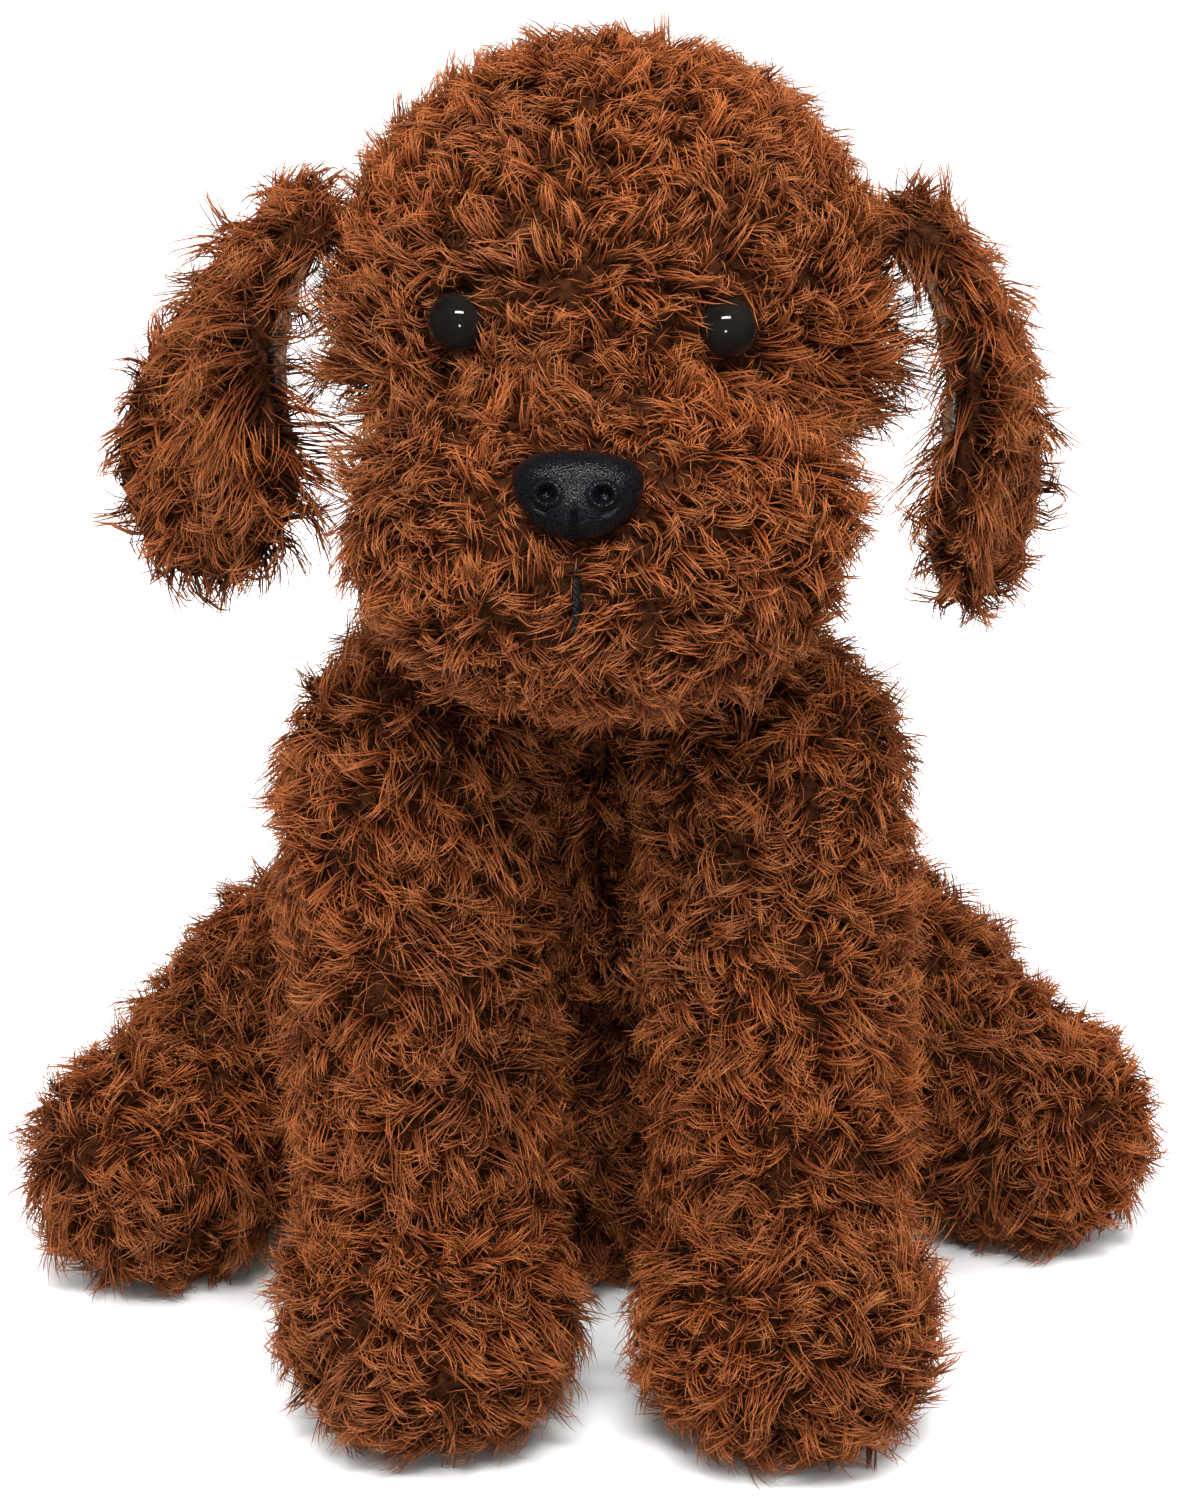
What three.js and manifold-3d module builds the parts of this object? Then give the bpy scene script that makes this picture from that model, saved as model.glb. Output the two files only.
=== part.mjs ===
// A sitting plush dog: pile-fabric skins over stuffing, with sewn joints at the neck, ears, legs and tail.
// Millimetres, +Z up. The dog faces -Y, so its own left side is +X. The origin is on the floor, under the
// middle of its box. A skin's outer face is the middle of its curly pile.
import * as THREE from 'three';
import { mergeVertices } from 'three/addons/utils/BufferGeometryUtils.js';
import Module from 'manifold-3d';

const wasm = await Module();
wasm.setup();

// ---------------------------------------------------------------- driving dimensions

const WALL = 6;            // pile fabric: its backing and the lower half of its pile
const FILL_GAP = 0.4;      // between a skin and the stuffing in it
const SEAM_GAP = 0.3;      // between two panels that are sewn edge to edge
const JOINT_GAP = 2.4;     // between a limb's rounded root and the pocket it turns in
const THREAD = 0.6;        // radius of the seam thread
const FINE = 14;           // steps round an outer face
const COARSE = 10;         // steps round an inner face
const ROUGH = 8;           // steps round the room that is left for a moving limb
const SHAFT_START = 0.14;  // where a limb's shaft leaves its root, as a share of its length

const TORSO = [
  { centre: [0, 40, 58], radii: [76, 60, 68], squareness: 2.4 },      // rump
  { centre: [0, 28, 98], radii: [63, 45, 60], squareness: 2.2 },      // back
  { centre: [0, -5, 128], radii: [56, 45, 54], squareness: 2 },       // chest
];
const NECK = { pivot: [4, -18, 168], radius: 34, wadRadius: 12, wadGap: 1.2, mouth: 10.5 };
const HEAD_TURN = -4.7;    // degrees about +Z at rest: the dog looks a little to its right

// The head is drawn about the neck pivot, before it turns.
const SKULL = { centre: [0, -7, 67], radii: [54, 52, 48], squareness: 2.1 };
const MUZZLE = { centre: [1, -50, 27], radii: [49, 40, 34.5], squareness: 2.15 };
const EYE = { radius: 5.8, dome: 5.2, sunk: 2.4, out: 27, up: 69 };
const NOSE = { radii: [11.7, 7, 8.4], narrowing: 0.22, back: 2, up: 45.5, sunk: 1.2, tilt: 22 };
const STEM = { radius: 1.6, length: 9, washerRadius: 5, washerThickness: 1.2 };
const MOUTH = { top: 33, bottom: 21 };

const EARS = [
  { side: 'left', sign: 1, droop: 57, faceTurn: -8, twist: 32 },
  { side: 'right', sign: -1, droop: 50, faceTurn: 10, twist: 52 },
];
const EAR = {
  hinge: [59.4, -5, 78], rootRadius: 5, rootHalfWidth: 17,
  halfWidth: 23, tipHalfWidth: 7, length: 80, roundFrom: 0.68,
  pile: 6, lining: 2, gap: 0.9, curl: 50,
};

const FRONT_LEGS = [
  { side: 'left', hip: [36, -36, 135], ankle: [40, -51, 26], paw: [40, -64, 24.5] },
  { side: 'right', hip: [-36, -36, 135], ankle: [-34, -48, 26], paw: [-34, -60, 24.5] },
];
const FRONT_LEG = { rootRadius: 28, shaftRadius: 25.5, pawRadii: [31, 36, 25], swing: 45 };
const HIND_LEGS = [
  { side: 'left', hip: [61, 44, 50], ankle: [94, 32, 26], paw: [97, 31, 25] },
  { side: 'right', hip: [-61, 44, 50], ankle: [-92, 14, 26], paw: [-96, 11, 25] },
];
const HIND_LEG = { rootRadius: 32, shaftRadius: 25, pawRadii: [28, 28, 25.5], lift: 40 };
const TAIL = { root: [0, 98, 42], tip: [0, 126, 62], rootRadius: 11, tipRadius: 8, wag: 30 };

const SEAT_BAG = { centre: [0, 40, 24], radii: [22, 33, 13], wall: 1.5 };
const CLOSING_SEAM = { centre: [0, 36], length: 44, width: 2.4, stitches: 7 };
const LABEL = { width: 16, height: 24, thickness: 0.8, at: [-34, 0, 34] };

// ---------------------------------------------------------------- materials

const pile = (colour) => new THREE.MeshStandardMaterial({ color: colour, roughness: 0.9, metalness: 0 });
const curlyPile = pile('#7a4527');
const shortPile = pile('#8a5a3a');
const fibrefill = pile('#f1eee6');
const bagCloth = pile('#e4ddcf');
const pellets = new THREE.MeshStandardMaterial({ color: '#dfe3e6', roughness: 0.5, metalness: 0 });
const sewingThread = pile('#3a2114');
const mouthThread = pile('#141210');
const glossBlack = new THREE.MeshStandardMaterial({ color: '#0a0908', roughness: 0.06, metalness: 0 });
const satinBlack = new THREE.MeshStandardMaterial({ color: '#111112', roughness: 0.42, metalness: 0 });
const washerPlastic = new THREE.MeshStandardMaterial({ color: '#e9e9e4', roughness: 0.5, metalness: 0 });
const labelSatin = new THREE.MeshStandardMaterial({ color: '#f4f2ee', roughness: 0.45, metalness: 0 });

// ---------------------------------------------------------------- solids

const vector = (point) => new THREE.Vector3(...point);

function solid(geometry) {
  const bare = geometry.clone();
  bare.deleteAttribute('normal');
  bare.deleteAttribute('uv');
  const merged = mergeVertices(bare, 1e-4);
  const mesh = new wasm.Mesh({
    numProp: 3,
    vertProperties: new Float32Array(merged.attributes.position.array),
    triVerts: new Uint32Array(merged.index.array),
  });
  return new wasm.Manifold(mesh);
}

function geometryOf(manifold) {
  const mesh = manifold.getMesh();
  const geometry = new THREE.BufferGeometry();
  geometry.setAttribute('position', new THREE.BufferAttribute(new Float32Array(mesh.vertProperties), 3));
  geometry.setIndex(new THREE.BufferAttribute(new Uint32Array(mesh.triVerts), 1));
  return geometry;
}

function union(solids) {
  return solids.reduce((joined, next) => joined.add(next));
}

function cut(body, tools) {
  return tools.reduce((left, tool) => left.subtract(tool), body);
}

function turned(body, pivot, axis, degrees) {
  const geometry = geometryOf(body);
  const turn = new THREE.Matrix4().makeRotationAxis(axis, THREE.MathUtils.degToRad(degrees));
  geometry.translate(-pivot[0], -pivot[1], -pivot[2]);
  geometry.applyMatrix4(turn);
  geometry.translate(...pivot);
  return solid(geometry);
}

// The places that a body passes through as it turns from one limit to the other.
function swept(body, pivot, axis, [lowest, highest]) {
  return [lowest, (lowest + highest) / 2, highest].map((degrees) => turned(body, pivot, axis, degrees));
}

// An egg shape, drawn by its centre and radii; a squareness above 2 fills out its corners.
function blob({ centre, radii, squareness = 2 }, grow = 0, steps = FINE) {
  const geometry = new THREE.SphereGeometry(1, steps, Math.round(steps * 0.6));
  geometry.rotateX(Math.PI / 2);
  const position = geometry.attributes.position;
  for (let i = 0; i < position.count; i += 1) {
    const point = new THREE.Vector3().fromBufferAttribute(position, i);
    const reach = [point.x, point.y, point.z].reduce((sum, part) => sum + Math.abs(part) ** squareness, 0);
    point.multiplyScalar(reach ** (-1 / squareness));
    const [x, y, z] = [point.x, point.y, point.z].map((part, axis) => part * (radii[axis] + grow));
    position.setXYZ(i, x, y, z);
  }
  geometry.translate(...centre);
  return solid(geometry);
}

function ball(centre, radius, steps = FINE) {
  return blob({ centre, radii: [radius, radius, radius] }, 0, steps);
}

// A solid of revolution about the line from start towards end. The profile is [radius, distance along].
function lathe(profile, start, end, steps) {
  const points = profile.map(([radius, along]) => new THREE.Vector2(radius, along));
  const geometry = new THREE.LatheGeometry(points, steps);
  const direction = vector(end).sub(vector(start)).normalize();
  const up = new THREE.Vector3(0, 1, 0);
  geometry.applyQuaternion(new THREE.Quaternion().setFromUnitVectors(up, direction));
  geometry.translate(...start);
  return solid(geometry);
}

// Two balls and the cone that touches both: the shape of a stuffed tube.
function tube(start, startRadius, end, endRadius, steps = FINE) {
  const length = vector(start).distanceTo(vector(end));
  const slope = Math.asin((startRadius - endRadius) / length);
  const arcSteps = Math.round(steps / 3);
  const profile = [[0, -startRadius]];
  for (let i = 1; i <= arcSteps; i += 1) {
    const angle = -Math.PI / 2 + ((slope + Math.PI / 2) * i) / arcSteps;
    profile.push([startRadius * Math.cos(angle), startRadius * Math.sin(angle)]);
  }
  for (let i = 0; i < arcSteps; i += 1) {
    const angle = slope + ((Math.PI / 2 - slope) * i) / arcSteps;
    profile.push([endRadius * Math.cos(angle), length + endRadius * Math.sin(angle)]);
  }
  profile.push([0, length + endRadius]);
  return lathe(profile, start, end, steps);
}

function rod(start, end, radius, steps = COARSE) {
  const length = vector(start).distanceTo(vector(end));
  return lathe([[0, 0], [radius, 0], [radius, length], [0, length]], start, end, steps);
}

function ring(centre, axis, radius, thickness) {
  const geometry = new THREE.TorusGeometry(radius, thickness, 5, FINE);
  geometry.applyQuaternion(new THREE.Quaternion().setFromUnitVectors(new THREE.Vector3(0, 0, 1), axis));
  geometry.translate(...centre);
  return solid(geometry);
}

function thread(points, sides = 5, stepsPerSpan = 2) {
  const section = new THREE.Shape();
  section.absarc(0, 0, THREAD, 0, 2 * Math.PI);
  const path = new THREE.CatmullRomCurve3(points.map(vector));
  const steps = (points.length - 1) * stepsPerSpan;
  const options = { steps, extrudePath: path, bevelEnabled: false, curveSegments: sides };
  return solid(new THREE.ExtrudeGeometry(section, options));
}

function box(size, centre) {
  const geometry = new THREE.BoxGeometry(...size);
  geometry.translate(...centre);
  return solid(geometry);
}

function aboveFloor(body, height) {
  const depth = 200;
  return body.subtract(box([600, 600, depth], [0, 0, height - depth / 2]));
}

// ---------------------------------------------------------------- the assembly

const group = new THREE.Group();
const head = new THREE.Group();
head.position.set(...NECK.pivot);
head.rotation.z = THREE.MathUtils.degToRad(HEAD_TURN);
group.add(head);

function add(parent, name, body, material) {
  const mesh = new THREE.Mesh(geometryOf(body), material);
  mesh.name = name;
  parent.add(mesh);
}

// Thread stitched round a limb's root, in the gap between the root's ball and its pocket.
function jointStitch(pivot, rootRadius, towardsBody, polar) {
  const reach = rootRadius + JOINT_GAP / 2;
  const angle = THREE.MathUtils.degToRad(polar);
  const axis = vector(towardsBody).normalize();
  const centre = axis.clone().multiplyScalar(reach * Math.cos(angle)).add(vector(pivot));
  return ring(centre.toArray(), axis, reach * Math.sin(angle), THREAD);
}

// ---------------------------------------------------------------- legs and tail

function legShape(kind, leg, grow, steps) {
  const shaft = tube(leg.hip, kind.rootRadius + grow, leg.ankle, kind.shaftRadius + grow, steps);
  const paw = blob({ centre: leg.paw, radii: kind.pawRadii, squareness: 2.3 }, grow, steps);
  return shaft.add(paw);
}

function tailShape(grow, steps) {
  return tube(TAIL.root, TAIL.rootRadius + grow, TAIL.tip, TAIL.tipRadius + grow, steps);
}

// The level axis that lifts a hind leg's paw, square to the way the leg points.
function liftAxis(leg) {
  const along = vector(leg.ankle).sub(vector(leg.hip));
  return new THREE.Vector3(along.y, -along.x, 0).normalize();
}

const swingAxis = new THREE.Vector3(-1, 0, 0);
const wagAxis = new THREE.Vector3(0, 0, 1);

// A stuffed limb: its skin, open at the root where it was stuffed, and its stuffing.
function addLimb(name, shape, pivot, inward, opening) {
  const skin = aboveFloor(shape(0, FINE), 0);
  const cavity = aboveFloor(shape(-WALL, COARSE), WALL);
  const stuffing = aboveFloor(shape(-WALL - FILL_GAP, COARSE), WALL + FILL_GAP);
  const far = vector(inward).normalize().multiplyScalar(60).add(vector(pivot)).toArray();
  const mouth = rod(pivot, far, opening, COARSE);
  add(group, `${name}_skin`, cut(skin, [cavity, mouth]), curlyPile);
  add(group, `${name}_stuffing`, stuffing, fibrefill);
}

function addLeg(end, kind, leg, back, up) {
  const name = `${end}_leg_${leg.side}`;
  const inward = [-Math.sign(leg.hip[0]), back, up];
  addLimb(name, (grow, steps) => legShape(kind, leg, grow, steps), leg.hip, inward, 9);
  add(group, `${name}_stitch`, jointStitch(leg.hip, kind.rootRadius, inward, 35), sewingThread);
}

function addLegs() {
  FRONT_LEGS.forEach((leg) => addLeg('front', FRONT_LEG, leg, 1, 1));
  HIND_LEGS.forEach((leg) => addLeg('hind', HIND_LEG, leg, 0, 0.5));
}

function addTail() {
  const inward = [0, -1, -0.3];
  addLimb('tail', tailShape, TAIL.root, inward, 3.5);
  add(group, 'tail_stitch', jointStitch(TAIL.root, TAIL.rootRadius, inward, 45), sewingThread);
}

// ---------------------------------------------------------------- torso

// The radius of a many-sided shape whose flats, not its corners, are at the given radius.
function overFlats(radius, steps) {
  return radius / Math.cos(Math.PI / steps) ** 1.8;
}

// The torso's pocket for a limb's root, and the room round the limb's shaft where it leaves the pocket.
function limbRoom(root, rootRadius, end, endRadius, margin, steps) {
  const start = vector(root).lerp(vector(end), SHAFT_START).toArray();
  const pocket = ball(root, overFlats(rootRadius + margin, steps), steps);
  const startRadius = overFlats(rootRadius + margin - 1.5, ROUGH);
  const shaft = tube(start, startRadius, end, overFlats(endRadius + margin - 1.5, ROUGH), ROUGH);
  return { root, pocket, shaft };
}

// One room for each limb, with the axis and the limits that the limb turns between.
function limbRooms(margin, steps) {
  const legRoom = (kind, leg, axis, turn) => {
    const room = limbRoom(leg.hip, kind.rootRadius, leg.ankle, kind.pawRadii[0], margin, steps);
    return { ...room, axis, limits: [0, turn] };
  };
  const tail = limbRoom(TAIL.root, TAIL.rootRadius, TAIL.tip, TAIL.tipRadius, margin, steps);
  return [
    ...FRONT_LEGS.map((leg) => legRoom(FRONT_LEG, leg, swingAxis, FRONT_LEG.swing)),
    ...HIND_LEGS.map((leg) => legRoom(HIND_LEG, leg, liftAxis(leg), HIND_LEG.lift)),
    { ...tail, axis: wagAxis, limits: [-TAIL.wag, TAIL.wag] },
  ];
}

function torsoPadding(grow, steps) {
  const parts = TORSO.map((part) => blob(part, grow, steps));
  return union([...parts, ball(NECK.pivot, NECK.radius + grow, steps)]);
}

function torsoOutside() {
  const rooms = limbRooms(JOINT_GAP, FINE);
  const paths = rooms.flatMap(({ root, shaft, axis, limits }) => swept(shaft, root, axis, limits));
  return aboveFloor(cut(torsoPadding(0, FINE), [...rooms.map((room) => room.pocket), ...paths]), 0);
}

// The hollow in the torso's skin, or the stuffing that fills it, at a depth under its outside.
function torsoInside(depth) {
  const rooms = limbRooms(JOINT_GAP + depth, COARSE).flatMap(({ pocket, shaft }) => [pocket, shaft]);
  return aboveFloor(cut(torsoPadding(-depth, COARSE), rooms), depth);
}

// The wad that fills the neck turns with it, in a round hollow at the top of the torso.
function neckRoom(margin) {
  return ball(NECK.pivot, NECK.wadRadius + margin, COARSE);
}

function closingSlot(top) {
  return box([CLOSING_SEAM.length, CLOSING_SEAM.width, top + 2], [...CLOSING_SEAM.centre, top / 2 - 1]);
}

function addTorso() {
  const neckTop = [NECK.pivot[0], NECK.pivot[1], NECK.pivot[2] + 60];
  const neckMouth = rod(NECK.pivot, neckTop, NECK.mouth);
  const cavity = torsoInside(WALL).add(neckRoom(NECK.wadGap));
  const skin = cut(torsoOutside(), [cavity, neckMouth, closingSlot(WALL + 1)]);
  add(group, 'torso_skin', skin, curlyPile);

  const stuffing = torsoInside(WALL + FILL_GAP);
  const bagRoom = blob(SEAT_BAG, FILL_GAP, COARSE);
  const slotToBag = box([10, 4, SEAT_BAG.centre[2]], [0, CLOSING_SEAM.centre[1], SEAT_BAG.centre[2] / 2]);
  const hollows = [neckRoom(NECK.wadGap), neckMouth, bagRoom, slotToBag];
  add(group, 'torso_stuffing', cut(stuffing, hollows), fibrefill);
  add(group, 'neck_wad', neckRoom(0), fibrefill);
}

function addSeatBag() {
  const inside = blob(SEAT_BAG, -SEAT_BAG.wall, COARSE);
  const [x, y, z] = SEAT_BAG.centre;
  const neck = rod([x, y, z], [x, y, z + 40], 5);
  add(group, 'seat_bag', cut(blob(SEAT_BAG, 0, COARSE), [inside, neck]), bagCloth);
  add(group, 'seat_pellets', blob(SEAT_BAG, -SEAT_BAG.wall - FILL_GAP, COARSE), pellets);
}

function addClosingSeam() {
  const { centre, length, width, stitches } = CLOSING_SEAM;
  const reach = width / 2 - THREAD - SEAM_GAP / 2;
  const points = Array.from({ length: stitches + 1 }, (_, i) => {
    const along = (i / stitches - 0.5) * (length - 4);
    return [centre[0] + along, centre[1] + (i % 2 ? reach : -reach), WALL / 2];
  });
  add(group, 'closing_stitch', thread(points), sewingThread);
}

function addLabel() {
  const rump = TORSO[0];
  const [x, , z] = LABEL.at;
  const n = rump.squareness;
  const acrossShare = Math.abs((x - rump.centre[0]) / rump.radii[0]) ** n;
  const upShare = Math.abs((z - rump.centre[2]) / rump.radii[2]) ** n;
  const y = rump.centre[1] + rump.radii[1] * (1 - acrossShare - upShare) ** (1 / n);
  const label = box([LABEL.width, LABEL.thickness, LABEL.height], [0, 0, -LABEL.height / 2]);
  const hung = turned(label, [0, 0, 0], new THREE.Vector3(0, 0, 1), 20);
  const geometry = geometryOf(hung);
  geometry.translate(x, y + 3.4, z + LABEL.height / 2);
  add(group, 'care_label', solid(geometry), labelSatin);
}

// ---------------------------------------------------------------- head

// The point on a blob's face that lies over the given x and z, on its front, and the way it faces there.
function frontPoint({ centre, radii, squareness }, x, z) {
  const n = squareness;
  const [right, up] = [(x - centre[0]) / radii[0], (z - centre[2]) / radii[2]];
  const forward = (1 - Math.abs(right) ** n - Math.abs(up) ** n) ** (1 / n);
  const point = new THREE.Vector3(x, centre[1] - radii[1] * forward, z);
  const slope = (share, radius) => (Math.sign(share) * Math.abs(share) ** (n - 1)) / radius;
  const facing = new THREE.Vector3(slope(right, radii[0]), slope(-forward, radii[1]), slope(up, radii[2]));
  return { point, facing: facing.normalize() };
}

// A place at a depth along the way a fitting faces; positive is out of the face.
function along({ point, facing }, distance) {
  return facing.clone().multiplyScalar(distance).add(point).toArray();
}

function headRoom(margin) {
  return ball([0, 0, 0], NECK.radius + JOINT_GAP + margin);
}

function eyePlace(sign) {
  return frontPoint(SKULL, sign * EYE.out, EYE.up);
}

function nosePlace() {
  const place = frontPoint(MUZZLE, 0, NOSE.up);
  const tilt = THREE.MathUtils.degToRad(NOSE.tilt);
  place.facing = new THREE.Vector3(0, -Math.cos(tilt), Math.sin(tilt));
  return place;
}

// The hole for a fitting's stem, and the room for the washer that holds it behind the fabric.
function stemHole(place) {
  return rod(along(place, 2), along(place, -WALL - 3), STEM.radius + SEAM_GAP, 10);
}

function washerRoom(place) {
  const radius = STEM.washerRadius + FILL_GAP;
  return rod(along(place, -WALL + 1), along(place, -WALL - STEM.length + 1), radius, COARSE);
}

function addWasher(name, place) {
  const hole = STEM.radius + SEAM_GAP;
  const { washerRadius: rim, washerThickness: thickness } = STEM;
  const profile = [[hole, 0], [rim, 0], [rim, thickness], [hole, thickness], [hole, 0]];
  const back = along(place, -WALL - 1.6 - thickness);
  add(head, name, lathe(profile, back, along(place, 0), COARSE), washerPlastic);
}

function addEye(side, sign) {
  const place = eyePlace(sign);
  const domeSteps = 6;
  const profile = [[0, -STEM.length], [STEM.radius, -STEM.length], [STEM.radius, 0]];
  for (let i = 0; i < domeSteps; i += 1) {
    const angle = (Math.PI / 2) * (i / domeSteps);
    profile.push([EYE.radius * Math.cos(angle), EYE.dome * Math.sin(angle)]);
  }
  profile.push([0, EYE.dome]);
  const base = along(place, -EYE.sunk);
  add(head, `eye_${side}`, lathe(profile, base, along(place, 1), 20), glossBlack);
  addWasher(`eye_${side}_washer`, place);
}

function eyeRecess(sign) {
  const place = eyePlace(sign);
  return rod(along(place, -EYE.sunk - SEAM_GAP), along(place, 12), EYE.radius + SEAM_GAP, FINE);
}

// The nose is drawn facing -Y about its own middle: a domed triangle with a flat back.
function noseShape(grow) {
  const geometry = geometryOf(blob({ centre: [0, 0, 0], radii: NOSE.radii, squareness: 2.3 }, grow, 16));
  const position = geometry.attributes.position;
  for (let i = 0; i < position.count; i += 1) {
    position.setX(i, position.getX(i) * (1 + (NOSE.narrowing * position.getZ(i)) / NOSE.radii[2]));
  }
  const behind = box([60, 20, 60], [0, NOSE.back + grow + 10, 0]);
  return solid(geometry).subtract(behind);
}

function atNose(body) {
  const place = nosePlace();
  const geometry = geometryOf(body);
  geometry.rotateX(-THREE.MathUtils.degToRad(NOSE.tilt));
  geometry.translate(...along(place, -NOSE.sunk));
  return solid(geometry);
}

function addNose() {
  const [, depth, height] = NOSE.radii;
  const nostrils = [1, -1].map((sign) => ball([sign * 5.4, -depth * 0.98, -0.4], 2, 12));
  const groove = box([1, 3, height * 0.9], [0, -depth, -height * 0.62]);
  const stem = rod([0, 0, 0], [0, STEM.length + 1, 0], STEM.radius, 12);
  const body = cut(noseShape(0), [...nostrils, groove]).add(stem);
  add(head, 'nose', atNose(body), satinBlack);
  addWasher('nose_washer', nosePlace());
}

function addMouth() {
  const steps = 4;
  const points = Array.from({ length: steps + 1 }, (_, i) => {
    const z = MOUTH.top + ((MOUTH.bottom - MOUTH.top) * i) / steps;
    return along(frontPoint(MUZZLE, 0, z), THREAD + SEAM_GAP);
  });
  add(head, 'mouth_stitch', thread(points, 6, 3), mouthThread);
}

function addSkull() {
  const cavity = blob(SKULL, -WALL, COARSE).subtract(headRoom(WALL));
  const neckMouth = rod([0, 0, 0], [0, 0, 60], NECK.mouth);
  const muzzleMouth = rod([0, -20, 40], [0, -70, 34], 15);
  const eyes = [1, -1].flatMap((sign) => [eyeRecess(sign), stemHole(eyePlace(sign))]);
  const washers = [1, -1].map((sign) => washerRoom(eyePlace(sign)));
  const skin = cut(blob(SKULL), [headRoom(0), cavity, neckMouth, muzzleMouth, ...eyes, ...washers]);
  add(head, 'head_skin', skin, curlyPile);

  const stuffing = blob(SKULL, -WALL - FILL_GAP, COARSE);
  add(head, 'head_stuffing', cut(stuffing, [headRoom(WALL + FILL_GAP), ...washers]), fibrefill);
}

function addMuzzle() {
  const face = blob(SKULL, SEAM_GAP);
  const cavity = blob(MUZZLE, -WALL, COARSE).subtract(headRoom(WALL));
  const nose = [atNose(noseShape(FILL_GAP)), stemHole(nosePlace()), washerRoom(nosePlace())];
  const skin = cut(blob(MUZZLE), [headRoom(0), cavity, face, ...nose]);
  add(head, 'muzzle_skin', skin, curlyPile);

  const stuffing = blob(MUZZLE, -WALL - FILL_GAP, COARSE);
  const room = [headRoom(WALL + FILL_GAP), face, washerRoom(nosePlace()), atNose(noseShape(FILL_GAP * 2))];
  add(head, 'muzzle_stuffing', cut(stuffing, room), fibrefill);
}

function addNeckStitch() {
  add(head, 'neck_stitch', jointStitch([0, 0, 0], NECK.radius, [0, 0, 1], 44), sewingThread);
}

// ---------------------------------------------------------------- ears

// Half of the ear's width at a distance down from its hinge: it widens gently, then rounds off at the tip.
function earHalfWidth(down) {
  const { rootHalfWidth, halfWidth, length, roundFrom, tipHalfWidth } = EAR;
  const share = down / length;
  const widening = THREE.MathUtils.lerp(rootHalfWidth, halfWidth, Math.min(share / roundFrom, 1));
  const rounding = Math.max(share - roundFrom, 0) / (1 - roundFrom);
  return Math.max(widening * Math.sqrt(1 - Math.min(rounding, 1) ** 2), tipHalfWidth);
}

// One flat layer of the ear: x is across it, y runs down it from the hinge, and z is outwards.
function earLayer(top, inset, from, thickness) {
  const geometry = new THREE.BoxGeometry(1, 1, 1, 6, 14, 1);
  const position = geometry.attributes.position;
  const height = EAR.length - inset - top;
  for (let i = 0; i < position.count; i += 1) {
    const y = top + height * (position.getY(i) + 0.5);
    const halfWidth = earHalfWidth(y + inset) - inset;
    const z = from + thickness * (position.getZ(i) + 0.5);
    position.setXYZ(i, 2 * halfWidth * position.getX(i), y, z);
  }
  return solid(geometry);
}

// The ear turns as it hangs: it twists to face forwards, and it bends over until its tip points inwards.
function curled(body, twist) {
  const geometry = geometryOf(body);
  const position = geometry.attributes.position;
  const bend = THREE.MathUtils.degToRad(EAR.curl);
  const radius = EAR.length / bend;
  for (let i = 0; i < position.count; i += 1) {
    const [x, y, z] = [position.getX(i), position.getY(i), position.getZ(i)];
    const turn = THREE.MathUtils.degToRad(twist) * THREE.MathUtils.smoothstep(y, 0, EAR.length * 0.8);
    const across = x * Math.cos(turn) + z * Math.sin(turn);
    const reach = radius + z * Math.cos(turn) - x * Math.sin(turn);
    const angle = y / radius;
    position.setXYZ(i, across, reach * Math.sin(angle), reach * Math.cos(angle) - radius);
  }
  return solid(geometry);
}

function placedEar(body, ear) {
  const [out, forward, up] = EAR.hinge;
  const geometry = geometryOf(body);
  const droop = THREE.MathUtils.degToRad(ear.droop);
  const across = new THREE.Vector3(0, -1, 0);
  const down = new THREE.Vector3(Math.cos(droop), 0, -Math.sin(droop));
  const outwards = new THREE.Vector3(Math.sin(droop), 0, Math.cos(droop));
  geometry.applyMatrix4(new THREE.Matrix4().makeBasis(across, down, outwards));
  geometry.rotateZ(-THREE.MathUtils.degToRad(ear.faceTurn));
  geometry.translate(out, forward, up);
  return geometry;
}

// The right ear is the left ear's mirror image, with its faces turned the right way out again.
function onSide(geometry, sign) {
  if (sign < 0) {
    geometry.scale(-1, 1, 1);
    const index = geometry.index.array;
    for (let i = 0; i < index.length; i += 3) {
      [index[i], index[i + 1]] = [index[i + 1], index[i]];
    }
  }
  return solid(geometry);
}

function addEar(ear) {
  const { rootRadius, rootHalfWidth, pile: pileDepth, lining, gap } = EAR;
  const root = rod([-rootHalfWidth, 0, 0], [rootHalfWidth, 0, 0], rootRadius);
  const outer = root.add(earLayer(0, 0, gap / 2, pileDepth));
  const inner = earLayer(rootRadius + 1, 2, -lining - gap / 2, lining);
  const place = (body) => onSide(placedEar(curled(body, ear.twist), ear), ear.sign);
  add(head, `ear_${ear.side}_outer`, place(outer), curlyPile);
  add(head, `ear_${ear.side}_lining`, place(inner), shortPile);
}

// ---------------------------------------------------------------- the dog

addTorso();
addSeatBag();
addClosingSeam();
addLabel();
addLegs();
addTail();
addSkull();
addMuzzle();
addNeckStitch();
addEye('left', 1);
addEye('right', -1);
addNose();
addMouth();
EARS.forEach(addEar);

group.updateMatrixWorld(true);
const bounds = new THREE.Box3().setFromObject(group, true);
const middle = bounds.getCenter(new THREE.Vector3());
group.position.set(-middle.x, -middle.y, -bounds.min.z);

export default group;
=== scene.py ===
"""A plush dog's looks: curly fur, eyes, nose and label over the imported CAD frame, in its metres."""

import math

import bmesh
import bpy
import numpy as np
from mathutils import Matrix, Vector, noise
from mathutils.bvhtree import BVHTree


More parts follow.
